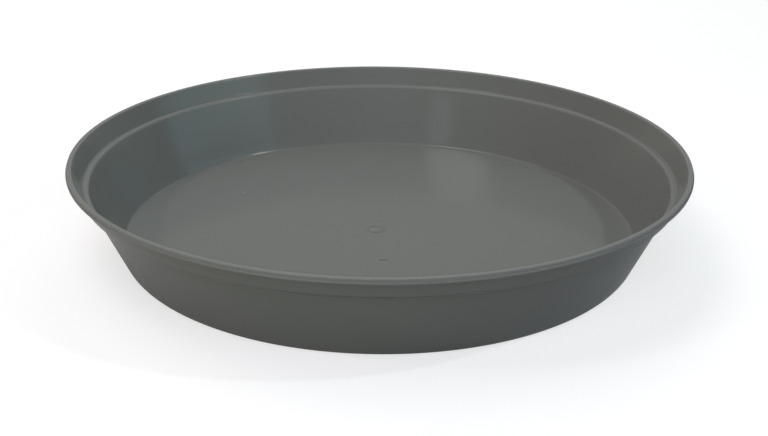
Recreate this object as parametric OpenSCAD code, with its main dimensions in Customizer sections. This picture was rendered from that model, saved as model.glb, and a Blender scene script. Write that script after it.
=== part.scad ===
// Round saucer for a plant pot, moulded in one piece: a flat floor on a foot ring,
// a leaning wall, a step with a ledge inside it, and a turned-out lip.

/* [Body] */
// Diameter across the lip
rim_d = 340; // [240:1:460]
// Height from the ground to the top of the lip
saucer_h = 52.2; // [40:0.1:80]
// Lean of the wall out from upright, in degrees
wall_lean = 24; // [14:0.5:32]
// Thickness of the wall, square to its face
wall_t = 1.6; // [1.2:0.1:2.4]

/* [Floor] */
// Thickness of the floor
floor_t = 2.2; // [1.6:0.1:3]
// Height of the floor's underside above the ground
foot_h = 2.6; // [1:0.1:5]
// Width of the flat that the foot ring stands on
foot_w = 2.4; // [1.6:0.1:4]
// Lean of the foot ring's inner face, so that it leaves the mould
foot_lean = 8; // [2:1:20]
// Radius between the wall and the floor, inside
floor_r = 3; // [1:0.1:5]
// Radius between the wall and the ground, outside
base_r = 4.8; // [2:0.1:7]

/* [Rim] */
// Height of the stepped band, from the ledge to the top of the lip
band_h = 10.8; // [8:0.1:18]
// Width of the ledge inside the band
ledge_w = 2.9; // [2:0.1:5]
// Height of the ledge above the edge of the outside step
step_drop = 0.4; // [0:0.1:1.5]
// Slope of the outside step's underside, in degrees from level
step_slope = 32; // [20:1:45]
// Width of the lip's flat top
lip_w = 3; // [2:0.1:5]
// Thickness of the lip
lip_t = 2.4; // [1.8:0.1:3.4]
// Depth of the parting line below the lip's top
parting_drop = 1.2; // [0.8:0.1:1.6]
// How far the lip stands proud below the parting line
parting_step = 0.4; // [0.1:0.05:0.8]

/* [Edges] */
// Radius of the ledge's front edge
ledge_r = 1.6; // [0.4:0.1:2]
// Radius of the lip's inner edge
lip_inner_r = 1.1; // [0.4:0.1:1.6]
// Radius of the lip's outer edges
lip_outer_r = 0.35; // [0.1:0.05:0.5]
// Radius of the shoulder at the parting line
parting_r = 0.12; // [0.02:0.02:0.2]
// Radius in the corners that meet the wall: ledge, lip and foot
inner_corner_r = 0.7; // [0.2:0.1:1]
// Radius of the outside step's edge
step_edge_r = 0.5; // [0.2:0.1:1]
// Radius where the outside step runs into the wall
step_root_r = 2.4; // [0.5:0.1:4]

/* [Moulding marks] */
// Diameter of the round mark that the gate leaves near the middle of the floor
gate_d = 10; // [5:0.1:16]
// Depth of the gate's dished mark
gate_depth = 0.45; // [0.2:0.05:0.8]
// Place of the gate mark from the saucer's middle, to the right
gate_x = -1.7; // [-10:0.1:10]
// Place of the gate mark from the saucer's middle, to the back
gate_y = -5.2; // [-10:0.1:10]
// Diameter of the raised nub in the gate mark
gate_nub_d = 3.6; // [1:0.1:5]
// Length of the mark of a blade ejector
blade_l = 4.6; // [2:0.1:8]
// Width of the mark of a blade ejector
blade_w = 1.3; // [0.6:0.1:2]
// Depth of the ejector marks
blade_depth = 0.45; // [0.1:0.05:0.6]
// Distance from the saucer's middle to the row of ejector marks
blade_row = 47.1; // [20:0.1:100]
// Distance between the two ejector marks
blade_gap = 10.4; // [8:0.1:30]

/* [Hidden] */
$fn = 180;

// Steps in each rounded corner, and how far a cutter reaches past a face
arc_steps = 8;
overrun = 1;
// Share of the gap between the ejector marks that lies right of the middle
blade_right_share = 0.2;
// Shares of the gate mark: its flat bottom across, and the nub's height
gate_bottom_share = 0.62;
nub_height_share = 0.7;
plastic = "dimgray";

rim_r = rim_d / 2;
lean = tan(wall_lean);
// Thickness of the wall measured level
wall_across = wall_t / cos(wall_lean);

floor_h = foot_h + floor_t;
ledge_h = saucer_h - band_h;
step_h = ledge_h - step_drop;
lip_under_h = saucer_h - lip_t;
parting_h = saucer_h - parting_drop;

// Inner radii, from the lip down to the floor
lip_inner = rim_r - lip_w;
band_foot = lip_inner - band_h * lean;
ledge_inner = band_foot - ledge_w;
floor_edge = ledge_inner - (ledge_h - floor_h) * lean;

// Radius of the band's and of the wall's outer face at a height
function band_outer(h) = band_foot + (h - ledge_h) * lean + wall_across;
function wall_outer(h) = ledge_inner + (h - ledge_h) * lean + wall_across;

// The step's sloping underside runs from the band's edge down to the wall
step_reach = (band_outer(step_h) - wall_outer(step_h)) / (1 / tan(step_slope) - lean);
step_root_h = step_h - step_reach;

// The rounding at the ground takes this much off the wall's foot
base_cut = base_r * tan((90 - wall_lean) / 2);
foot_outer = wall_outer(0) - base_cut;
foot_inner = foot_outer - foot_w;
foot_root = foot_inner - foot_h * tan(foot_lean);

// The corners of the half section, each as [place, radius], from the middle of
// the underside out, up the outside and back down the inside.
corners = [
    [[0, foot_h], 0],
    [[foot_root, foot_h], inner_corner_r],
    [[foot_inner, 0], lip_outer_r],
    [[wall_outer(0), 0], base_r],
    [[wall_outer(step_root_h), step_root_h], step_root_r],
    [[band_outer(step_h), step_h], step_edge_r],
    [[band_outer(lip_under_h), lip_under_h], inner_corner_r],
    [[rim_r, lip_under_h], lip_outer_r],
    [[rim_r, parting_h], parting_r],
    [[rim_r - parting_step, parting_h], parting_r],
    [[rim_r - parting_step, saucer_h], lip_outer_r],
    [[lip_inner, saucer_h], lip_inner_r],
    [[band_foot, ledge_h], inner_corner_r],
    [[ledge_inner, ledge_h], ledge_r],
    [[floor_edge, floor_h], floor_r],
    [[0, floor_h], 0]
];

// The points that round corner p, between its neighbours a and b, to radius r
function rounded(a, p, b, r) =
    let (
        u = (a - p) / norm(a - p),
        v = (b - p) / norm(b - p),
        half = acos(u * v) / 2,
        centre = p + (u + v) / norm(u + v) * r / sin(half),
        from = p + u * r / tan(half) - centre,
        side = sign(cross(v, u)),
        turn = side * (180 - 2 * half)
    )
    [for (i = [0 : arc_steps])
        let (t = turn * i / arc_steps)
        centre + [from.x * cos(t) - from.y * sin(t), from.x * sin(t) + from.y * cos(t)]];

function outline(c) =
    [for (i = [0 : len(c) - 1])
        let (p = c[i][0], r = c[i][1], last = len(c) - 1)
        each r == 0 ? [p] : rounded(c[i == 0 ? last : i - 1][0], p, c[i == last ? 0 : i + 1][0], r)];

module shell() {
    rotate_extrude() polygon(outline(corners));
}

// The dished mark of the gate, with the torn nub standing in it
module gate_mark() {
    bottom_d = gate_d * gate_bottom_share;
    translate([gate_x, gate_y, floor_h - gate_depth])
    difference() {
        union() {
            cylinder(h = gate_depth, d1 = bottom_d, d2 = gate_d);
            translate([0, 0, gate_depth])
                cylinder(h = overrun, d = gate_d);
        }
        cylinder(h = gate_depth * nub_height_share, d1 = gate_nub_d, d2 = gate_nub_d / 2);
    }
}

// The shallow straight-sided mark of one blade ejector, centred on x
module blade_mark(x) {
    translate([x - blade_l / 2, -blade_row - blade_w / 2, floor_h - blade_depth])
        cube([blade_l, blade_w, blade_depth + overrun]);
}

module saucer() {
    color(plastic)
    difference() {
        shell();
        gate_mark();
        blade_mark(blade_gap * blade_right_share);
        blade_mark(-blade_gap * (1 - blade_right_share));
    }
}

saucer();
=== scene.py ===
# A round plant saucer in grey polypropylene, moulded in one piece.
# Lengths are in metres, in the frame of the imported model. The saucer stands on z = 0.

import math

import bpy
from mathutils import Matrix, Vector


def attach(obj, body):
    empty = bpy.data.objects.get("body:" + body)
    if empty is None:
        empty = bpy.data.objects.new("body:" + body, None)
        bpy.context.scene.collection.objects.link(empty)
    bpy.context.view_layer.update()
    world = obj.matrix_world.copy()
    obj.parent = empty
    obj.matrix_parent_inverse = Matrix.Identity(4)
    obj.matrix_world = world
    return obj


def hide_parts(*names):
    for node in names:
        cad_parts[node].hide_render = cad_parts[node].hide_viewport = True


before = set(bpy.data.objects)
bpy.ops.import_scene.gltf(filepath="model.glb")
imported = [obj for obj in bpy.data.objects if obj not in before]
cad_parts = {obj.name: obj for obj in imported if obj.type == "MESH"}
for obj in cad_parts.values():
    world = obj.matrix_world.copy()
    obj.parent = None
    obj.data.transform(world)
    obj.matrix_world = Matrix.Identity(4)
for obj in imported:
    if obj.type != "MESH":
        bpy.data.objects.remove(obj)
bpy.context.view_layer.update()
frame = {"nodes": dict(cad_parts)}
print("frame loaded:", ", ".join(frame["nodes"]))

mm = 0.001


# Helpers for node trees

class Number:  # a number in a node tree: arithmetic on it adds Math nodes
    def __init__(self, tree, socket):
        self.tree = tree
        self.socket = socket

    def work(self, operation, *others):
        return workOut(self.tree, operation, self, *others)

    def __add__(self, other):
        return self.work("ADD", other)

    def __sub__(self, other):
        return self.work("SUBTRACT", other)

    def __rsub__(self, other):
        return workOut(self.tree, "SUBTRACT", other, self)

    def __mul__(self, other):
        return self.work("MULTIPLY", other)

    def __truediv__(self, other):
        return self.work("DIVIDE", other)

    def __rtruediv__(self, other):
        return workOut(self.tree, "DIVIDE", other, self)


def feed(tree, socket, value):
    if isinstance(value, Number):
        value = value.socket
    if isinstance(value, bpy.types.NodeSocket):
        tree.links.new(value, socket)
    else:
        socket.default_value = value


def addNode(tree, kind, inputs=None, **settings):
    node = tree.nodes.new(kind)
    for name, value in settings.items():
        setattr(node, name, value)
    for key, value in (inputs or {}).items():
        feed(tree, node.inputs[key], value)
    return node


def workOut(tree, operation, *values):
    node = addNode(tree, "ShaderNodeMath", dict(enumerate(values)), operation=operation)
    return Number(tree, node.outputs[0])


def workVector(tree, operation, *values):
    node = addNode(tree, "ShaderNodeVectorMath", dict(enumerate(values)), operation=operation)
    return node.outputs


def scaled(tree, vector, share):
    node = addNode(tree, "ShaderNodeVectorMath", {0: vector, "Scale": share}, operation="SCALE")
    return node.outputs[0]


def joinAxes(tree, x=0.0, y=0.0, z=0.0):
    return addNode(tree, "ShaderNodeCombineXYZ", {"X": x, "Y": y, "Z": z}).outputs[0]


def splitAxes(tree, vector):
    return addNode(tree, "ShaderNodeSeparateXYZ", {0: vector}).outputs


def fromCircle(tree, place, radius, level):
    # distance to a level circle round the Z axis
    axes = splitAxes(tree, place)
    across = workOut(tree, "POWER", axes["X"], 2.0) + workOut(tree, "POWER", axes["Y"], 2.0)
    outBy = across.work("SQRT") - radius
    upBy = Number(tree, axes["Z"]) - level
    return (outBy * outBy + upBy * upBy).work("SQRT")


def mixColour(tree, share, first, second):
    # a Mix node's colours are its inputs 6 and 7 and its output 2
    colours = {"Factor": share, 6: first, 7: second}
    return addNode(tree, "ShaderNodeMix", colours, data_type="RGBA").outputs[2]


def newGroup(name, kind, inputs, outputs):
    # inputs are (name, socket type, default) and outputs are (name, socket type)
    tree = bpy.data.node_groups.new(name, kind)
    for label, socketType, default in inputs:
        socket = tree.interface.new_socket(name=label, in_out="INPUT", socket_type=socketType)
        if default is not None:
            socket.default_value = default
    for label, socketType in outputs:
        tree.interface.new_socket(name=label, in_out="OUTPUT", socket_type=socketType)
    given = tree.nodes.new("NodeGroupInput").outputs
    result = tree.nodes.new("NodeGroupOutput").inputs
    return tree, given, result


# Camera, placed where the photograph was taken from

cameraValues = {  # angles in degrees
    "lens": 54.44,
    "sensorWidth": 36.0,
    "distance": 0.6664,  # from the middle of the saucer's foot
    "elevation": 23.43,
    "tiltDown": 22.681,
    "turnRight": 0.227,
    "roll": 0.56,
    "nearLimit": 10.0 * mm,
}


def placeCamera(values):
    data = bpy.data.cameras.new("photoCamera")
    data.lens = values["lens"]
    data.sensor_width = values["sensorWidth"]
    data.clip_start = values["nearLimit"]
    camera = bpy.data.objects.new("photoCamera", data)
    bpy.context.scene.collection.objects.link(camera)
    elevation = math.radians(values["elevation"])
    away = values["distance"]
    place = Vector((0.0, -away * math.cos(elevation), away * math.sin(elevation)))
    aim = (
        Matrix.Rotation(math.radians(-values["turnRight"]), 4, "Z")
        @ Matrix.Rotation(math.radians(90.0 - values["tiltDown"]), 4, "X")
        @ Matrix.Rotation(math.radians(values["roll"]), 4, "Z")
    )
    camera.matrix_world = Matrix.Translation(place) @ aim
    bpy.context.scene.camera = camera


placeCamera(cameraValues)
bpy.context.scene.view_settings.view_transform = "Standard"
print("camera placed")


# Surface effects, as shader groups that the plastic and the studio paper share

def noiseTone(tree, vector, size, detail=2.0, roughness=0.5):
    # soft noise from 0 to 1, with features of about this size
    noise = addNode(tree, "ShaderNodeTexNoise", {
        "Vector": vector,
        "Scale": workOut(tree, "DIVIDE", 1.0, size),
        "Detail": detail,
        "Roughness": roughness,
    })
    return Number(tree, noise.outputs[0])


def ramp(tree, value, low, high):
    # 0 below low and 1 above high, with a soft way between
    node = addNode(tree, "ShaderNodeMapRange", {"Value": value, "From Min": low, "From Max": high},
                   interpolation_type="SMOOTHSTEP")
    return Number(tree, node.outputs[0])


def useGroup(tree, group, **inputs):
    # cloudSize=... feeds the group's input Cloud Size
    node = tree.nodes.new("ShaderNodeGroup")
    node.node_tree = group
    for name, value in inputs.items():
        label = "".join(" " + letter if letter.isupper() else letter for letter in name).title()
        feed(tree, node.inputs[label], value)
    return {output.name: Number(tree, output) for output in node.outputs}


def grainGroup():
    # fine grain of the mould's surface, and a slow waviness under it
    tree, given, result = newGroup("surfaceGrain", "ShaderNodeTree", [
        ("Vector", "NodeSocketVector", None),
        ("Grain Size", "NodeSocketFloat", 0.4 * mm),
        ("Wave Size", "NodeSocketFloat", 12.0 * mm),
        ("Wave Share", "NodeSocketFloat", 0.5),
    ], [("Height", "NodeSocketFloat")])
    fine = noiseTone(tree, given["Vector"], given["Grain Size"], detail=3.0, roughness=0.6)
    wave = noiseTone(tree, given["Vector"], given["Wave Size"], detail=1.0)
    feed(tree, result["Height"], fine + wave * Number(tree, given["Wave Share"]))
    return tree


def cloudGroup():
    # broad soft clouds of tone, from 0 to 1
    tree, given, result = newGroup("softClouds", "ShaderNodeTree", [
        ("Vector", "NodeSocketVector", None),
        ("Cloud Size", "NodeSocketFloat", 60.0 * mm),
        ("Contrast", "NodeSocketFloat", 1.0),
    ], [("Tone", "NodeSocketFloat")])
    broad = noiseTone(tree, given["Vector"], given["Cloud Size"], detail=4.0, roughness=0.55)
    tone = (broad - 0.5) * Number(tree, given["Contrast"]) + 0.5
    feed(tree, result["Tone"], tone.work("MAXIMUM", 0.0).work("MINIMUM", 1.0))
    return tree


def speckGroup():
    # dust, as round specks of different sizes, at most one to a cell
    tree, given, result = newGroup("dustSpecks", "ShaderNodeTree", [
        ("Vector", "NodeSocketVector", None),
        ("Spacing", "NodeSocketFloat", 9.0 * mm),
        ("Speck Size", "NodeSocketFloat", 0.35 * mm),
        ("Share", "NodeSocketFloat", 0.2),
        ("Core", "NodeSocketFloat", 0.5),
    ], [("Mask", "NodeSocketFloat")])
    spacing = Number(tree, given["Spacing"])
    cells = addNode(tree, "ShaderNodeTexVoronoi", {
        "Vector": given["Vector"],
        "Scale": 1.0 / spacing,
    })
    chance = addNode(tree, "ShaderNodeSeparateColor", {0: cells.outputs["Color"]}).outputs
    away = Number(tree, cells.outputs["Distance"]) * spacing
    reach = Number(tree, chance["Green"]) * Number(tree, given["Speck Size"])
    spot = 1.0 - ramp(tree, away, reach * Number(tree, given["Core"]), reach)
    chosen = workOut(tree, "LESS_THAN", chance["Red"], given["Share"])
    feed(tree, result["Mask"], spot * chosen)
    return tree


def scuffGroup():
    # thin straight rubs, some longer and deeper than others, in two directions
    tree, given, result = newGroup("fineScuffs", "ShaderNodeTree", [
        ("Vector", "NodeSocketVector", None),
        ("Length", "NodeSocketFloat", 22.0 * mm),
        ("Width", "NodeSocketFloat", 0.35 * mm),
        ("Faintest", "NodeSocketFloat", 0.70),
        ("Clearest", "NodeSocketFloat", 0.78),
        ("Amount", "NodeSocketFloat", 0.3),
    ], [("Mask", "NodeSocketFloat")])
    perLength = workOut(tree, "DIVIDE", 1.0, given["Length"])
    perWidth = workOut(tree, "DIVIDE", 1.0, given["Width"])
    stretch = joinAxes(tree, perLength, perWidth, perWidth)
    total = None
    for turn in (0.5, 2.0):  # the two directions, in radians
        laid = addNode(tree, "ShaderNodeMapping", {
            "Vector": given["Vector"],
            "Rotation": (0.0, 0.0, turn),
        })
        streak = addNode(tree, "ShaderNodeTexNoise", {
            "Vector": workVector(tree, "MULTIPLY", laid.outputs[0], stretch)[0],
            "Scale": 1.0,
            "Detail": 1.0,
        })
        line = ramp(tree, streak.outputs[0], given["Faintest"], given["Clearest"])
        total = line if total is None else total.work("MAXIMUM", line)
    feed(tree, result["Mask"], total * Number(tree, given["Amount"]))
    return tree


def spotGroup():
    # one small spot with a soft edge, round or drawn out along an axis
    tree, given, result = newGroup("singleSpot", "ShaderNodeTree", [
        ("Vector", "NodeSocketVector", None),
        ("Place", "NodeSocketVector", None),
        ("Reach", "NodeSocketVector", (0.5 * mm, 0.5 * mm, 0.5 * mm)),
        ("Softness", "NodeSocketFloat", 0.5),
    ], [("Mask", "NodeSocketFloat")])
    away = workVector(tree, "SUBTRACT", given["Vector"], given["Place"])[0]
    share = workVector(tree, "DIVIDE", away, given["Reach"])[0]
    out = workVector(tree, "LENGTH", share)["Value"]
    inner = 1.0 - Number(tree, given["Softness"])
    feed(tree, result["Mask"], 1.0 - ramp(tree, out, inner, 1.0))
    return tree


def flowGroup():
    # faint streaks that the melt leaves as it runs out from the gate
    tree, given, result = newGroup("flowStreaks", "ShaderNodeTree", [
        ("Vector", "NodeSocketVector", None),
        ("Streaks", "NodeSocketFloat", 9.0),
        ("Drift", "NodeSocketFloat", 8.0),
        ("Fade Start", "NodeSocketFloat", 27.0 * mm),
        ("Fade Radius", "NodeSocketFloat", 90.0 * mm),
    ], [("Tone", "NodeSocketFloat")])
    flat = workVector(tree, "MULTIPLY", given["Vector"], (1.0, 1.0, 0.0))[0]
    out = Number(tree, workVector(tree, "LENGTH", flat)["Value"])
    heading = workVector(tree, "NORMALIZE", flat)[0]
    around = scaled(tree, heading, given["Streaks"])
    drift = joinAxes(tree, z=out * Number(tree, given["Drift"]))
    streak = addNode(tree, "ShaderNodeTexNoise", {
        "Vector": workVector(tree, "ADD", around, drift)[0],
        "Scale": 1.0,
        "Detail": 3.0,
    })
    strength = 1.0 - ramp(tree, out, given["Fade Start"], given["Fade Radius"])
    feed(tree, result["Tone"], (Number(tree, streak.outputs[0]) - 0.5) * strength + 0.5)
    return tree


grain = grainGroup()
clouds = cloudGroup()
specks = speckGroup()
scuffs = scuffGroup()
spot = spotGroup()
flow = flowGroup()
print("surface effects made")


# The studio: pale floor, white surroundings and soft lamps

studioValues = {
    "floorSize": 8.0,
    "floorColour": (0.39, 0.39, 0.39, 1.0),
    "floorLight": (0.41, 0.41, 0.41, 1.0),
    "paperClouds": 300.0 * mm,
    "paperContrast": 0.5,
    "paperGrain": 0.8 * mm,
    "paperDepth": 0.02 * mm,
    "floorGlow": 0.66,  # added for the camera alone, so that the floor shows white
    "farGlow": 1.0,  # where the lamps' light runs out
    "glowStart": 0.9,
    "glowEnd": 2.4,
    "mirrorGlow": 0.075,  # added for mirror rays
    "ambient": (0.03, 0.03, 0.03, 1.0),
    "backdropTone": (0.228, 0.224, 0.206, 1.0),  # what a mirror ray sees behind the saucer
    "roomTone": (0.04, 0.04, 0.04, 1.0),  # and what it sees of the rest of the room
    "cameraTone": (1.0, 1.0, 1.0, 1.0),
    "backdropTop": math.radians(38.0),
    "backdropSide": math.radians(60.0),
    "backdropFade": 0.3,  # softness of its edges, as a share of these angles
    "aimHeight": 0.02,
}

# a lamp's azimuth runs from the front to the right, in degrees; a mirrored one shows in the gloss
lampValues = {
    "rightLamp": {"azimuth": 76, "elevation": 45.5, "distance": 1.5, "size": 0.06,
                  "colour": (0.84, 1.0, 0.92), "watts": 4.15, "mirrored": True},
    "leftLamp": {"azimuth": -65, "elevation": 41.8, "distance": 1.5, "size": 0.06,
                 "colour": (1.0, 0.79, 0.84), "watts": 2.2, "mirrored": False},
    "leftHighLamp": {"azimuth": -64, "elevation": 64, "distance": 1.5, "size": 0.55,
                     "colour": (0.95, 1.0, 0.90), "watts": 3.15, "mirrored": True},
    "leftLowLamp": {"azimuth": -31, "elevation": 30, "distance": 1.5, "size": 0.3,
                    "colour": (0.8, 0.86, 1.0), "watts": 0.14, "mirrored": True},
    "windowPanel": {"azimuth": 92.2, "elevation": 24.5, "distance": 1.72, "size": 1.87,
                    "height": 0.32, "facing": 42,
                    "colour": (0.48, 0.88, 1.0), "watts": 1.15, "mirrored": True},
    "backLeftPanel": {"azimuth": -120, "elevation": 65, "distance": 1.5, "size": 0.9,
                      "colour": (1.0, 0.87, 0.88), "watts": 6.5, "mirrored": False},
    "backLowPanel": {"azimuth": 180, "elevation": 14, "distance": 1.5, "size": 0.9,
                     "colour": (1.0, 1.0, 1.0), "watts": 3.0, "mirrored": False},
    "backPanel": {"azimuth": 180, "elevation": 40, "distance": 1.5, "size": 0.9,
                  "colour": (0.86, 1.0, 0.99), "watts": 5.3, "mirrored": False},
    "lowSidePanel": {"azimuth": -72, "elevation": 0.6, "distance": 1.5, "size": 0.05,
                     "colour": (1.0, 1.0, 0.85), "watts": 1.7, "mirrored": False},
    "frontPanel": {"azimuth": -22, "elevation": 15, "distance": 1.5, "size": 1.1,
                   "colour": (0.99, 1.0, 0.70), "watts": 4.1, "mirrored": False},
    "frontRightPanel": {"azimuth": 50, "elevation": 25, "distance": 1.5, "size": 0.9,
                        "colour": (0.86, 0.75, 1.0), "watts": 2.4, "mirrored": False},
    "frontHighPanel": {"azimuth": 0, "elevation": 45, "distance": 1.5, "size": 0.9,
                       "colour": (0.73, 0.80, 1.0), "watts": 6.6, "mirrored": False},
}


def shownRay(tree):
    # 1 for the rays that show the background: camera, mirror and see-through rays
    path = tree.nodes.new("ShaderNodeLightPath").outputs
    some = workOut(tree, "MAXIMUM", path["Is Camera Ray"], path["Is Glossy Ray"])
    return some.work("MAXIMUM", path["Is Transmission Ray"])


def makeWorld(values):
    # white for the camera; mirror rays see the backdrop behind the saucer and a dim room in front
    world = bpy.data.worlds.new("studio")
    world.use_nodes = True
    tree = world.node_tree
    tree.nodes.clear()
    towards = tree.nodes.new("ShaderNodeTexCoord").outputs["Generated"]
    axes = splitAxes(tree, towards)
    side = workOut(tree, "ARCTAN2", axes["X"], axes["Y"]).work("ABSOLUTE")
    height = workOut(tree, "ARCSINE", axes["Z"])
    inner = 1.0 - values["backdropFade"]
    outer = 1.0 + values["backdropFade"]
    across = 1.0 - ramp(tree, side, inner * values["backdropSide"], outer * values["backdropSide"])
    upward = 1.0 - ramp(tree, height, inner * values["backdropTop"], outer * values["backdropTop"])
    mirrored = mixColour(tree, across * upward, values["roomTone"], values["backdropTone"])
    path = tree.nodes.new("ShaderNodeLightPath").outputs
    shown = mixColour(tree, path["Is Camera Ray"], mirrored, values["cameraTone"])
    colour = mixColour(tree, shownRay(tree), values["ambient"], shown)
    background = addNode(tree, "ShaderNodeBackground", {"Color": colour})
    result = tree.nodes.new("ShaderNodeOutputWorld")
    tree.links.new(background.outputs[0], result.inputs["Surface"])
    bpy.context.scene.world = world


def makeFloor(values):
    half = values["floorSize"] / 2
    corners = [(-half, -half, 0.0), (half, -half, 0.0), (half, half, 0.0), (-half, half, 0.0)]
    mesh = bpy.data.meshes.new("studioFloor")
    mesh.from_pydata(corners, [], [(0, 1, 2, 3)])
    floor = bpy.data.objects.new("studioFloor", mesh)
    bpy.context.scene.collection.objects.link(floor)
    material = bpy.data.materials.new("studioPaper")
    material.use_nodes = True
    tree = material.node_tree
    tree.nodes.clear()
    place = tree.nodes.new("ShaderNodeTexCoord").outputs["Object"]
    tone = useGroup(tree, clouds, vector=place, cloudSize=values["paperClouds"],
                    contrast=values["paperContrast"])["Tone"]
    colour = mixColour(tree, tone, values["floorColour"], values["floorLight"])
    height = useGroup(tree, grain, vector=place, grainSize=values["paperGrain"])["Height"]
    bump = addNode(tree, "ShaderNodeBump", {
        "Height": height,
        "Strength": 1.0,
        "Distance": values["paperDepth"],
    })
    paper = addNode(tree, "ShaderNodeBsdfDiffuse", {"Color": colour, "Normal": bump.outputs[0]})
    path = tree.nodes.new("ShaderNodeLightPath").outputs
    away = workVector(tree, "LENGTH", place)["Value"]
    far = ramp(tree, away, values["glowStart"], values["glowEnd"])
    glowShown = far * (values["farGlow"] - values["floorGlow"]) + values["floorGlow"]
    forCamera = Number(tree, path["Is Camera Ray"]) * (glowShown - values["mirrorGlow"])
    glowStrength = forCamera + shownRay(tree) * values["mirrorGlow"]
    glow = addNode(tree, "ShaderNodeEmission", {"Strength": glowStrength})
    both = addNode(tree, "ShaderNodeAddShader", {0: paper.outputs[0], 1: glow.outputs[0]})
    result = tree.nodes.new("ShaderNodeOutputMaterial")
    tree.links.new(both.outputs[0], result.inputs["Surface"])
    mesh.materials.append(material)


def hangLamp(name, values, aimHeight):
    data = bpy.data.lights.new(name, "AREA")
    data.shape = "RECTANGLE" if "height" in values else "DISK"
    data.size = values["size"]
    data.size_y = values.get("height", values["size"])
    data.energy = values["watts"]
    data.color = values["colour"]
    lamp = bpy.data.objects.new(name, data)
    bpy.context.scene.collection.objects.link(lamp)
    azimuth = math.radians(values["azimuth"])
    elevation = math.radians(values["elevation"])
    towards = Vector((
        math.sin(azimuth) * math.cos(elevation),
        -math.cos(azimuth) * math.cos(elevation),
        math.sin(elevation),
    ))
    lamp.location = towards * values["distance"] + Vector((0.0, 0.0, aimHeight))
    facing = math.radians(values.get("facing", 0.0))
    away = Vector((math.sin(facing), -math.cos(facing), 0.0)) if "facing" in values else towards
    lamp.rotation_euler = away.to_track_quat("Z", "Y").to_euler()
    lamp.visible_camera = False
    lamp.visible_glossy = values["mirrored"]


makeWorld(studioValues)
makeFloor(studioValues)
for lampName, lamp in lampValues.items():
    hangLamp(lampName, lamp, studioValues["aimHeight"])
print("studio lit by", len(lampValues), "lamps")


# Polypropylene

plasticValues = {
    "darkTone": (0.161, 0.168, 0.156, 1.0),
    "lightTone": (0.169, 0.176, 0.164, 1.0),
    # lighter tone for scuffs and for the edge rings; on the edges it is part abrasion, part painted
    # highlight
    "scuffAndEdgeHighlightTone": (0.196, 0.202, 0.190, 1.0),
    "dustTone": (0.34, 0.34, 0.32, 1.0),
    "roughness": 0.14,
    "roughnessSpread": 0.02,
    "rubbedRoughness": 0.2,  # added along the edge rings, rougher from rubbing
    "ior": 1.49,
    "grainSize": 0.35 * mm,
    "grainDepth": 0.0012 * mm,
    "waveSize": 14.0 * mm,
    "waveShare": 1.2,
    "scuffDepth": 0.002 * mm,
    "cloudSize": 55.0 * mm,
    "cloudShare": 0.6,  # of the clouds and of the flow streaks in the tone
    "flowShare": 0.8,
    "edgeLighteningLeast": 0.5,  # share of the edge lightening where the clouds are darkest
    "ringCore": 0.4,  # share of a ring's reach at full strength
    "scuffTone": 0.3,
    "scuffRoughness": 0.15,
    "dustShare": 0.6,
    "dustRoughness": 0.4,
    "edgeRubAndHighlightRings": (  # radius, height and reach of the edges that are rougher from rubbing and painted lighter, part abrasion and part painted highlight
        (168.6 * mm, 52.2 * mm, 2.6 * mm),
        (159.6 * mm, 41.4 * mm, 2.4 * mm),
        (170.0 * mm, 50.6 * mm, 0.7 * mm),
    ),
    "dullRing": (143.0 * mm, 4.8 * mm, 1.4 * mm),  # the floor's corner, hard to polish in a mould
    "dullRoughness": 0.05,
    "gatePlace": (-2.1 * mm, -5.5 * mm, 4.8 * mm),
}

spotValues = {  # single marks on the floor, in millimetres, with their tone and its share
    "darkInclusion": {"place": (-24.7, 105.7, 4.8), "reach": (0.8, 0.8, 0.8),
                      "tone": (0.05, 0.05, 0.045, 1.0), "share": 0.45},
    "dustGrain": {"place": (-83.6, 49.8, 4.8), "reach": (0.7, 0.7, 0.7),
                  "tone": (0.42, 0.42, 0.40, 1.0), "share": 0.8},
    # painted highlight on the sloping side of the gate mark
    "gateDishHighlight": {"place": (-3.0, -4.2, 4.8), "reach": (3.4, 2.6, 2.0),
                  "tone": (0.24, 0.245, 0.235, 1.0), "share": 0.3},
    # painted highlight along the near edge of the clear blade mark
    "bladeEdgeHighlight": {"place": (2.2, -48.8, 4.8), "reach": (3.2, 1.0, 1.0),
                   "tone": (0.24, 0.245, 0.235, 1.0), "share": 0.35},
}


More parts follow.
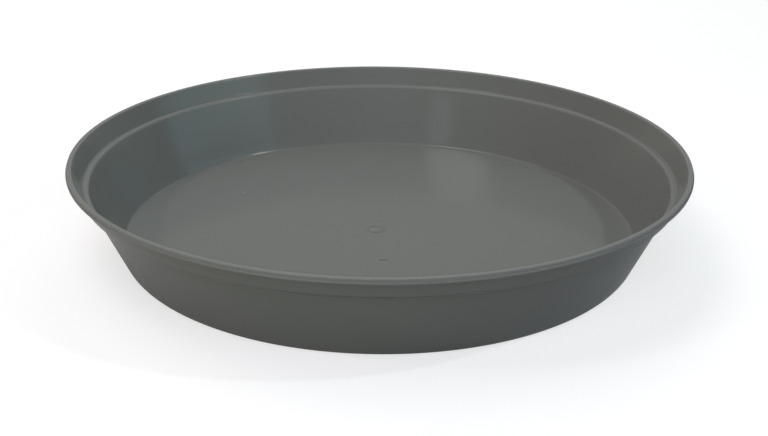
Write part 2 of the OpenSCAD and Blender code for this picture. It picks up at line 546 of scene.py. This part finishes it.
def makePlastic(values, marks):
    material = bpy.data.materials.new("moulded polypropylene")
    material.use_nodes = True
    tree = material.node_tree
    plastic = tree.nodes["Principled BSDF"]
    place = tree.nodes.new("ShaderNodeTexCoord").outputs["Object"]
    fromGate = addNode(tree, "ShaderNodeMapping", {
        "Vector": place,
        "Location": tuple(-number for number in values["gatePlace"]),
    }).outputs[0]

    cloudTone = useGroup(tree, clouds, vector=place, cloudSize=values["cloudSize"])["Tone"]
    flowTone = useGroup(tree, flow, vector=fromGate)["Tone"]
    speckMask = useGroup(tree, specks, vector=place)["Mask"]
    scuffMask = useGroup(tree, scuffs, vector=place)["Mask"]
    height = useGroup(tree, grain, vector=place, grainSize=values["grainSize"],
                      waveSize=values["waveSize"], waveShare=values["waveShare"])["Height"]

    def nearRing(radius, level, reach):
        away = fromCircle(tree, place, radius, level)
        return 1.0 - ramp(tree, away, values["ringCore"] * reach, reach)

    # edge rings: rougher from rubbing, and painted lighter, part abrasion and part painted
    # highlight
    edgeRubAndHighlight = nearRing(*values["edgeRubAndHighlightRings"][0])
    for ring in values["edgeRubAndHighlightRings"][1:]:
        edgeRubAndHighlight = edgeRubAndHighlight.work("MAXIMUM", nearRing(*ring))

    cloudPart = (cloudTone - 0.5) * values["cloudShare"]
    flowPart = (flowTone - 0.5) * values["flowShare"]
    tone = (cloudPart + flowPart + 0.5).work("MAXIMUM", 0.0).work("MINIMUM", 1.0)
    body = mixColour(tree, tone, values["darkTone"], values["lightTone"])
    # the edge rings' painted highlight and abrasion, lighter where the clouds are lighter, and the
    # scuffs
    unevenly = cloudTone * (1.0 - values["edgeLighteningLeast"]) + values["edgeLighteningLeast"]
    wearAndHighlight = (edgeRubAndHighlight * unevenly).work("MAXIMUM", scuffMask * values["scuffTone"])
    wornAndHighlit = mixColour(tree, wearAndHighlight, body, values["scuffAndEdgeHighlightTone"])
    surface = mixColour(tree, speckMask * values["dustShare"], wornAndHighlit, values["dustTone"])
    for mark in marks.values():
        mask = useGroup(tree, spot, vector=place, place=Vector(mark["place"]) * mm,
                        reach=Vector(mark["reach"]) * mm)["Mask"]
        surface = mixColour(tree, mask * mark["share"], surface, mark["tone"])
    feed(tree, plastic.inputs["Base Color"], surface)

    gloss = (cloudTone - 0.5) * values["roughnessSpread"] * 2.0 + values["roughness"]
    dulled = edgeRubAndHighlight * values["rubbedRoughness"] + scuffMask * values["scuffRoughness"]
    dusty = speckMask * values["dustRoughness"]
    corner = nearRing(*values["dullRing"]) * values["dullRoughness"]
    feed(tree, plastic.inputs["Roughness"], gloss + dulled + dusty + corner)

    grainBump = addNode(tree, "ShaderNodeBump", {
        "Height": height,
        "Distance": values["grainDepth"],
        "Strength": 1.0,
    })
    scuffBump = addNode(tree, "ShaderNodeBump", {
        "Height": scuffMask * -1.0,
        "Distance": values["scuffDepth"],
        "Strength": 1.0,
        "Normal": grainBump.outputs[0],
    })
    feed(tree, plastic.inputs["Normal"], scuffBump.outputs[0])
    plastic.inputs["IOR"].default_value = values["ior"]
    return material


plastic = makePlastic(plasticValues, spotValues)


# The saucer's shell, turned from its half section by Geometry Nodes

shellValues = {
    "Rim Radius": 170.0 * mm,
    "Height": 52.2 * mm,
    "Wall Lean": math.radians(24.0),  # out from upright
    "Wall Thickness": 1.6 * mm,
    "Floor Thickness": 2.2 * mm,
    "Foot Height": 2.6 * mm,
    "Foot Width": 2.4 * mm,
    "Foot Lean": math.radians(8.0),
    "Band Height": 10.8 * mm,
    "Ledge Width": 2.9 * mm,
    "Step Drop": 0.4 * mm,
    "Step Slope": math.radians(32.0),
    "Lip Width": 3.0 * mm,
    "Lip Thickness": 2.8 * mm,
    "Parting Drop": 1.6 * mm,
    "Parting Step": 0.5 * mm,
    "Floor Corner": 2.2 * mm,
    "Base Corner": 4.8 * mm,
    "Ledge Edge": 1.6 * mm,
    "Lip Inner Edge": 1.1 * mm,
    "Lip Outer Edge": 0.35 * mm,
    "Parting Edge": 0.12 * mm,
    "Inner Corner": 0.7 * mm,
    "Step Edge": 0.5 * mm,
    "Step Root": 2.4 * mm,
}

markValues = {
    "Gate X": -2.1 * mm,
    "Gate Y": -5.5 * mm,
    "Gate Radius": 5.5 * mm,
    "Gate Depth": 0.6 * mm,
    "Gate Side": 1.7 * mm,  # how far the dish's sloping side runs in
    "Gate Shift X": 0.3 * mm,  # of the dish's bottom from its rim
    "Gate Shift Y": 0.8 * mm,
    "Nub Radius": 1.9 * mm,
    "Nub Height": 0.22 * mm,
    "Nub X": 1.3 * mm,  # from the middle of the gate
    "Nub Y": -0.5 * mm,
    "Blade X": 2.1 * mm,
    "Blade Y": -47.4 * mm,
    "Blade Spacing": 10.4 * mm,
    "Blade Length": 4.6 * mm,
    "Blade Width": 1.3 * mm,
    "Blade Depth": 0.32 * mm,
    "Faint Share": 0.1,  # the second blade's depth, as a share of the first
    "Blade Rounding": 0.4 * mm,
    "Mark Edge": 0.3 * mm,
    "Nub Roughness": 1.1,
    "Nub Detail": 2.2,
    "Flash Height": 0.18 * mm,
    "Flash Reach": 0.2 * mm,
    "Flash Detail": 90.0,
    "Flash Gaps": 0.35,  # noise below this leaves the parting line clean
}

meshValues = {
    "Steps Round": 384,
    "Steps in Corner": 8,
    "Mark Steps Round": 64,
    "Mark Steps in Corner": 4,
    "Nub Subdivisions": 4,
    "Longest Span": 6.0 * mm,
    "Crisp Angle": math.radians(35.0),
    "Seed": 4.0,
}


def ownPlace(tree):
    return tree.nodes.new("GeometryNodeInputPosition").outputs[0]


def ownIndex(tree):
    return tree.nodes.new("GeometryNodeInputIndex").outputs[0]


def roundedLine(tree, corners, cornerSteps):
    # a curve through the corners, each (across, up, rounding), in the XY plane
    line = addNode(tree, "GeometryNodeMeshLine", {"Count": len(corners)}, mode="OFFSET")
    curve = addNode(tree, "GeometryNodeMeshToCurve", {"Mesh": line.outputs["Mesh"]})
    index = ownIndex(tree)
    places = addNode(tree, "GeometryNodeIndexSwitch", {"Index": index}, data_type="VECTOR")
    radii = addNode(tree, "GeometryNodeIndexSwitch", {"Index": index}, data_type="FLOAT")
    for node in (places, radii):
        while len(node.index_switch_items) < len(corners):
            node.index_switch_items.new()
    for number, (across, up, rounding) in enumerate(corners):
        feed(tree, places.inputs[number + 1], joinAxes(tree, across, up))
        feed(tree, radii.inputs[number + 1], rounding)
    placed = addNode(tree, "GeometryNodeSetPosition", {
        "Geometry": curve.outputs[0],
        "Position": places.outputs[0],
    })
    fillet = addNode(tree, "GeometryNodeFilletCurve", {
        "Curve": placed.outputs[0],
        "Radius": radii.outputs[0],
        "Count": cornerSteps,
    }, mode="POLY")
    return fillet.outputs[0]


def turned(tree, section, stepsRound, longestSpan):
    # the section, split so that no span is long, swept round the Z axis and closed
    hub = 1.0 * mm  # radius of the circle that it is swept round, taken off again
    touching = 0.002 * mm  # points as close as this are one
    here = ownPlace(tree)
    nextIndex = workOut(tree, "ADD", ownIndex(tree), 1.0)
    ahead = addNode(tree, "GeometryNodeFieldAtIndex", {
        "Index": nextIndex,
        "Value": here,
    }, data_type="FLOAT_VECTOR", domain="POINT")
    span = Number(tree, workVector(tree, "DISTANCE", here, ahead.outputs[0])["Value"])
    cuts = (span / longestSpan).work("FLOOR")
    split = addNode(tree, "GeometryNodeSubdivideCurve", {"Curve": section, "Cuts": cuts})
    inward = addNode(tree, "GeometryNodeSetPosition", {
        "Geometry": split.outputs[0],
        "Offset": (-hub, 0.0, 0.0),
    })
    ring = addNode(tree, "GeometryNodeCurvePrimitiveCircle", {
        "Resolution": stepsRound,
        "Radius": hub,
    }, mode="RADIUS")
    swept = addNode(tree, "GeometryNodeCurveToMesh", {
        "Curve": ring.outputs[0],
        "Profile Curve": inward.outputs[0],
    })
    upright = addNode(tree, "GeometryNodeTransform", {  # the sweep comes out upside down
        "Geometry": swept.outputs[0],
        "Rotation": (math.pi, 0.0, 0.0),
    })
    closed = addNode(tree, "GeometryNodeMergeByDistance", {
        "Geometry": upright.outputs[0],
        "Distance": touching,
    })
    return closed.outputs[0]


def gateDish(tree, size, mesh, floorTop, over):
    # cuts the dished gate mark, and reaches over the floor
    clear = 0.02 * mm  # so that its rim isn't level with the floor
    radius = size["Gate Radius"]
    depth = size["Gate Depth"]
    edge = size["Mark Edge"]
    dishLine = roundedLine(tree, [
        (0.0, depth * -1.0, 0.0),
        (radius - size["Gate Side"], depth * -1.0, edge),
        (radius, clear, edge),
        (radius + over, clear, 0.0),
        (radius + over, over, 0.0),
        (0.0, over, 0.0),
    ], mesh["Mark Steps in Corner"])
    level = splitAxes(tree, ownPlace(tree))["Z"]
    sunk = (Number(tree, level) / (depth * -1.0)).work("MAXIMUM", 0.0)
    leaning = addNode(tree, "GeometryNodeSetPosition", {
        "Geometry": turned(tree, dishLine, mesh["Mark Steps Round"], over),
        "Offset": joinAxes(tree, sunk * size["Gate Shift X"], sunk * size["Gate Shift Y"]),
    })
    dish = addNode(tree, "GeometryNodeTransform", {
        "Geometry": leaning.outputs[0],
        "Translation": joinAxes(tree, size["Gate X"], size["Gate Y"], floorTop),
    })
    return dish.outputs[0]


def ejectorBlades(tree, size, mesh, floorTop, over):
    # cuts the marks of two blade ejectors, a clear one and a faint one
    outline = addNode(tree, "GeometryNodeCurvePrimitiveQuadrilateral", {
        "Width": size["Blade Length"],
        "Height": size["Blade Width"],
    }, mode="RECTANGLE")
    rounded = addNode(tree, "GeometryNodeFilletCurve", {
        "Curve": outline.outputs[0],
        "Radius": size["Blade Rounding"],
        "Count": mesh["Mark Steps in Corner"],
    }, mode="POLY")
    upward = addNode(tree, "GeometryNodeCurvePrimitiveLine", {
        "Start": joinAxes(tree, z=size["Blade Depth"] * -1.0),
        "End": (0.0, 0.0, over),
    })
    blade = addNode(tree, "GeometryNodeCurveToMesh", {
        "Curve": upward.outputs[0],
        "Profile Curve": rounded.outputs[0],
        "Fill Caps": True,
    })
    places = addNode(tree, "GeometryNodeMeshLine", {
        "Count": 2,
        "Start Location": joinAxes(tree, size["Blade X"], size["Blade Y"], floorTop),
        "Offset": joinAxes(tree, size["Blade Spacing"] * -1.0),
    }, mode="OFFSET")
    number = Number(tree, ownIndex(tree))
    share = 1.0 - number * (1.0 - size["Faint Share"])
    blades = addNode(tree, "GeometryNodeInstanceOnPoints", {
        "Points": places.outputs[0],
        "Instance": blade.outputs[0],
        "Scale": joinAxes(tree, 1.0, 1.0, share),
    })
    return addNode(tree, "GeometryNodeRealizeInstances", {"Geometry": blades.outputs[0]}).outputs[0]


def tornNub(tree, size, mesh, floorTop):
    # a flat ball with a torn surface, on the floor of the gate mark
    ball = addNode(tree, "GeometryNodeMeshIcoSphere", {
        "Radius": 1.0,
        "Subdivisions": mesh["Nub Subdivisions"],
    })
    torn = addNode(tree, "ShaderNodeTexNoise", {
        "Scale": size["Nub Detail"],
        "Detail": 3.0,
        "W": mesh["Seed"],
    }, noise_dimensions="4D")
    rough = (Number(tree, torn.outputs[0]) - 0.5) * size["Nub Roughness"] + 1.0
    reach = joinAxes(tree, size["Nub Radius"], size["Nub Radius"], size["Nub Height"])
    flat = workVector(tree, "MULTIPLY", ownPlace(tree), reach)[0]
    place = joinAxes(tree, size["Gate X"] + size["Nub X"], size["Gate Y"] + size["Nub Y"],
                     floorTop - size["Gate Depth"])
    nub = addNode(tree, "GeometryNodeSetPosition", {
        "Geometry": ball.outputs[0],
        "Position": scaled(tree, flat, rough),
        "Offset": place,
    })
    return nub.outputs[0]


def flashed(tree, shell, size, mesh):
    # ragged flash, where the two halves of the mould met at the parting line
    parting = size["Height"] - size["Parting Drop"]
    away = fromCircle(tree, ownPlace(tree), size["Rim Radius"], parting) / size["Flash Reach"]
    near = (1.0 - away).work("MAXIMUM", 0.0)
    ragged = addNode(tree, "ShaderNodeTexNoise", {
        "Scale": size["Flash Detail"],
        "Detail": 4.0,
        "W": mesh["Seed"],
    }, noise_dimensions="4D")
    raised = (Number(tree, ragged.outputs[0]) - size["Flash Gaps"]).work("MAXIMUM", 0.0) * near
    lifted = addNode(tree, "GeometryNodeSetPosition", {
        "Geometry": shell,
        "Offset": joinAxes(tree, z=raised * size["Flash Height"]),
    })
    return lifted.outputs[0]


def marked(tree, shell, size, mesh, floorTop):
    # the shell with the gate mark, its nub, the ejector marks and the flash
    over = 1.0 * mm  # how far the cutters reach over the floor
    cut = addNode(tree, "GeometryNodeMeshBoolean", {"Mesh 1": shell}, operation="DIFFERENCE",
                  solver="MANIFOLD")
    feed(tree, cut.inputs["Mesh 2"], gateDish(tree, size, mesh, floorTop, over))
    feed(tree, cut.inputs["Mesh 2"], ejectorBlades(tree, size, mesh, floorTop, over))
    joined = addNode(tree, "GeometryNodeMeshBoolean", operation="UNION", solver="MANIFOLD")
    feed(tree, joined.inputs["Mesh 2"], cut.outputs[0])
    feed(tree, joined.inputs["Mesh 2"], tornNub(tree, size, mesh, floorTop))
    return flashed(tree, joined.outputs[0], size, mesh)


def shellTree(values, mesh):
    # every size and step count is an input of the tree, under its own name
    inputs = [("Geometry", "NodeSocketGeometry", None)]
    inputs += [(name, "NodeSocketFloat", value) for name, value in values.items()]
    inputs += [(name, "NodeSocketInt" if isinstance(value, int) else "NodeSocketFloat", value)
               for name, value in mesh.items()]
    inputs += [("Plastic", "NodeSocketMaterial", None)]
    tree, given, result = newGroup("turnedSaucer", "GeometryNodeTree", inputs,
                                   [("Geometry", "NodeSocketGeometry")])
    tree.is_modifier = True
    size = {name: Number(tree, given[name]) for name in values}

    lean = size["Wall Lean"].work("TANGENT")
    wallAcross = size["Wall Thickness"] / size["Wall Lean"].work("COSINE")
    height = size["Height"]
    floorTop = size["Foot Height"] + size["Floor Thickness"]
    ledgeTop = height - size["Band Height"]
    stepEdge = ledgeTop - size["Step Drop"]
    lipUnder = height - size["Lip Thickness"]
    parting = height - size["Parting Drop"]

    rim = size["Rim Radius"]
    lipInner = rim - size["Lip Width"]
    bandFoot = lipInner - size["Band Height"] * lean
    ledgeInner = bandFoot - size["Ledge Width"]
    floorEdge = ledgeInner - (ledgeTop - floorTop) * lean

    def outerFace(foot, level):
        return foot + (level - ledgeTop) * lean + wallAcross

    slopeRun = 1.0 / size["Step Slope"].work("TANGENT")
    stepRoot = stepEdge - size["Ledge Width"] / (slopeRun - lean)
    wallFoot = outerFace(ledgeInner, 0.0)
    halfTurn = (math.pi / 2 - size["Wall Lean"]) * 0.5
    footOuter = wallFoot - size["Base Corner"] * halfTurn.work("TANGENT")
    footInner = footOuter - size["Foot Width"]
    footRoot = footInner - size["Foot Height"] * size["Foot Lean"].work("TANGENT")

    corners = [
        (0.0, size["Foot Height"], 0.0),
        (footRoot, size["Foot Height"], size["Inner Corner"]),
        (footInner, 0.0, size["Lip Outer Edge"]),
        (wallFoot, 0.0, size["Base Corner"]),
        (outerFace(ledgeInner, stepRoot), stepRoot, size["Step Root"]),
        (outerFace(bandFoot, stepEdge), stepEdge, size["Step Edge"]),
        (outerFace(bandFoot, lipUnder), lipUnder, size["Inner Corner"]),
        (rim, lipUnder, size["Lip Outer Edge"]),
        (rim, parting, size["Parting Edge"]),
        (rim - size["Parting Step"], parting, size["Parting Edge"]),
        (rim - size["Parting Step"], height, size["Lip Outer Edge"]),
        (lipInner, height, size["Lip Inner Edge"]),
        (bandFoot, ledgeTop, size["Inner Corner"]),
        (ledgeInner, ledgeTop, size["Ledge Edge"]),
        (floorEdge, floorTop, size["Floor Corner"]),
        (0.0, floorTop, 0.0),
    ]
    section = roundedLine(tree, corners, given["Steps in Corner"])
    shell = turned(tree, section, given["Steps Round"], given["Longest Span"])
    moulded = marked(tree, shell, size, given, floorTop)
    angle = tree.nodes.new("GeometryNodeInputMeshEdgeAngle").outputs["Unsigned Angle"]
    crisp = workOut(tree, "GREATER_THAN", angle, given["Crisp Angle"])
    smooth = addNode(tree, "GeometryNodeSetShadeSmooth", {"Geometry": moulded}, domain="FACE")
    edged = addNode(tree, "GeometryNodeSetShadeSmooth", {
        "Geometry": smooth.outputs[0],
        "Selection": crisp,
        "Shade Smooth": False,
    }, domain="EDGE")
    real = addNode(tree, "GeometryNodeRealizeInstances", {"Geometry": edged.outputs[0]})
    coated = addNode(tree, "GeometryNodeSetMaterial", {
        "Geometry": real.outputs[0],
        "Material": given["Plastic"],
    })
    feed(tree, result["Geometry"], coated.outputs[0])
    return tree


def runTree(name, tree, settings):
    # the tree's result as a plain mesh object, with no modifier left on it
    piece = bpy.data.objects.new(name, bpy.data.meshes.new(name + "Start"))
    modifier = piece.modifiers.new(name, "NODES")
    modifier.node_group = tree
    for socket in tree.interface.items_tree:
        if socket.in_out == "INPUT" and socket.name in settings:
            modifier[socket.identifier] = settings[socket.name]
    bpy.context.scene.collection.objects.link(piece)
    depsgraph = bpy.context.evaluated_depsgraph_get()
    mesh = bpy.data.meshes.new_from_object(piece.evaluated_get(depsgraph), depsgraph=depsgraph)
    piece.modifiers.remove(modifier)
    piece.data = mesh
    mesh.name = name
    return piece


sizes = {**shellValues, **markValues}
tree = shellTree(sizes, meshValues)
shell = runTree("saucer_shell", tree, {**sizes, **meshValues, "Plastic": plastic})
print("shell turned:", len(shell.data.polygons), "faces")

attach(shell, "root")
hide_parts("saucer")
